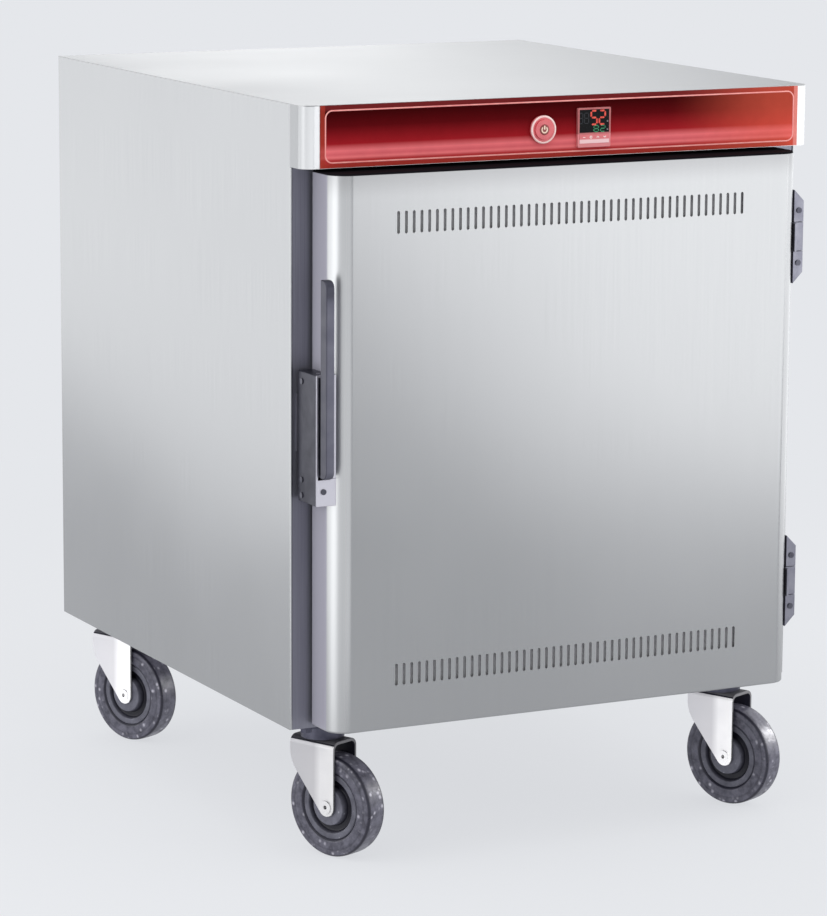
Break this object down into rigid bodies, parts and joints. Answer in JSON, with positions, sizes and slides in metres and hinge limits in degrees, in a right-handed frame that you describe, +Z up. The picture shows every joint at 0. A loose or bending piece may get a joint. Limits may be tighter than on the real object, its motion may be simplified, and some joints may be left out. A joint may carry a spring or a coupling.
{
  "type": "heated holding cabinet",
  "caption": "Insulated half-height heated holding cabinet on swivel casters, with a hinged vented door, an edge latch lever, a control strip, side racks and wire shelves.",
  "frame": {"origin": "on the floor under the middle of the bounding box", "axes": "+Z up, the door faces -Y, +X to the right of a person facing the door"},
  "size_m": [0.7, 0.82, 0.931],
  "materials": {
    "stainless": "fine brushed stainless sheet",
    "frame_steel": "dull stainless",
    "insulation": "mineral fibre board",
    "fascia_red": "printed gloss overlay",
    "case_pale": "moulded",
    "display_black": "smoked window",
    "key_pale": "soft keys",
    "switch_red": "polished",
    "button_cream": "polished",
    "electric_dark": "moulded",
    "electric_grey": "moulded",
    "latch_metal": "satin plated",
    "hinge_metal": "satin plated",
    "zinc": "bright zinc",
    "fastener": "plain",
    "magnet": "ground",
    "gasket": "silicone",
    "heater": "oxidised sheath",
    "wire": "electropolished wire",
    "core": "moulded",
    "tyre": "moulded rubber"
  },
  "bodies": {
    "cabinet": {"left_side_panel": "stainless", "right_side_panel": "stainless", "top_panel": "stainless", "back_panel": "stainless", "base_pan": "stainless", "front_frame": "frame_steel", "inner_liner": "stainless", "insulation_boards": "insulation", "control_deck": "stainless", "control_hood": "stainless", "fascia_panel": "fascia_red", "controller_case": "case_pale", "display_window": "display_black", "key_strip": "key_pale", "switch_body": "switch_red", "relay": "electric_dark", "terminal_block": "electric_grey", "high_limit_thermostat": "electric_grey", "cable_gland": "electric_dark", "hinge_cabinet_leaves": "hinge_metal", "hinge_pins": "fastener", "strike_plate": "frame_steel", "caster_bolts": "fastener", "cabinet_screws": "fastener", "heating_element": "heater", "element_guard": "stainless", "temperature_probe": "wire", "left_rack": "wire", "right_rack": "wire", "upper_shelf": "wire", "lower_shelf": "wire", "caster_plates": "zinc", "swivel_races": "zinc"},
    "door": {"door_skin": "stainless", "door_inner_panel": "stainless", "door_insulation": "insulation", "door_gasket": "gasket", "hinge_door_leaves": "hinge_metal", "latch_housing": "latch_metal", "latch_magnet": "magnet", "lever_pin": "fastener", "latch_screws": "fastener"},
    "lever": {"latch_lever": "latch_metal"},
    "button": {"power_button": "button_cream"},
    "front_left_swivel": {"front_left_caster_fork": "zinc", "front_left_caster_axle": "zinc"},
    "front_left_wheel": {"front_left_wheel_core": "core", "front_left_wheel_tyre": "tyre"},
    "front_right_swivel": {"front_right_caster_fork": "zinc", "front_right_caster_axle": "zinc"},
    "front_right_wheel": {"front_right_wheel_core": "core", "front_right_wheel_tyre": "tyre"},
    "rear_left_swivel": {"rear_left_caster_fork": "zinc", "rear_left_caster_axle": "zinc"},
    "rear_left_wheel": {"rear_left_wheel_core": "core", "rear_left_wheel_tyre": "tyre"},
    "rear_right_swivel": {"rear_right_caster_fork": "zinc", "rear_right_caster_axle": "zinc"},
    "rear_right_wheel": {"rear_right_wheel_core": "core", "rear_right_wheel_tyre": "tyre"}
  },
  "joints": [
    {"name": "door_hinge", "type": "hinge", "parent": "cabinet", "child": "door", "pos_m": [0.33, -0.37, 0.514], "axis": [0, 0, 1], "range_deg": [0, 180]},
    {"name": "latch_lever_hinge", "type": "hinge", "parent": "door", "child": "lever", "pos_m": [-0.33225, -0.371, 0.556], "axis": [0, 0, -1], "range_deg": [0, 20], "stiffness_Nm_per_rad": 1},
    {"name": "power_button_press", "type": "slide", "parent": "cabinet", "child": "button", "axis": [0, 1, 0], "range_m": [0, 0.0025], "stiffness_N_per_m": 800},
    {"name": "front_left_swivel_turn", "type": "hinge", "parent": "cabinet", "child": "front_left_swivel", "pos_m": [-0.284, -0.284, 0.15], "axis": [0, 0, 1], "continuous": true},
    {"name": "front_left_wheel_spin", "type": "hinge", "parent": "front_left_swivel", "child": "front_left_wheel", "pos_m": [-0.27424, -0.30593, 0.064], "axis": [0.9135, 0.4067, 0], "continuous": true},
    {"name": "front_right_swivel_turn", "type": "hinge", "parent": "cabinet", "child": "front_right_swivel", "pos_m": [0.284, -0.284, 0.15], "axis": [0, 0, 1], "continuous": true},
    {"name": "front_right_wheel_spin", "type": "hinge", "parent": "front_right_swivel", "child": "front_right_wheel", "pos_m": [0.29376, -0.30593, 0.064], "axis": [0.9135, 0.4067, 0], "continuous": true},
    {"name": "rear_left_swivel_turn", "type": "hinge", "parent": "cabinet", "child": "rear_left_swivel", "pos_m": [-0.284, 0.354, 0.15], "axis": [0, 0, 1], "continuous": true},
    {"name": "rear_left_wheel_spin", "type": "hinge", "parent": "rear_left_swivel", "child": "rear_left_wheel", "pos_m": [-0.27424, 0.33207, 0.064], "axis": [0.9135, 0.4067, 0], "continuous": true},
    {"name": "rear_right_swivel_turn", "type": "hinge", "parent": "cabinet", "child": "rear_right_swivel", "pos_m": [0.284, 0.354, 0.15], "axis": [0, 0, 1], "continuous": true},
    {"name": "rear_right_wheel_spin", "type": "hinge", "parent": "rear_right_swivel", "child": "rear_right_wheel", "pos_m": [0.29376, 0.33207, 0.064], "axis": [0.9135, 0.4067, 0], "continuous": true}
  ]
}
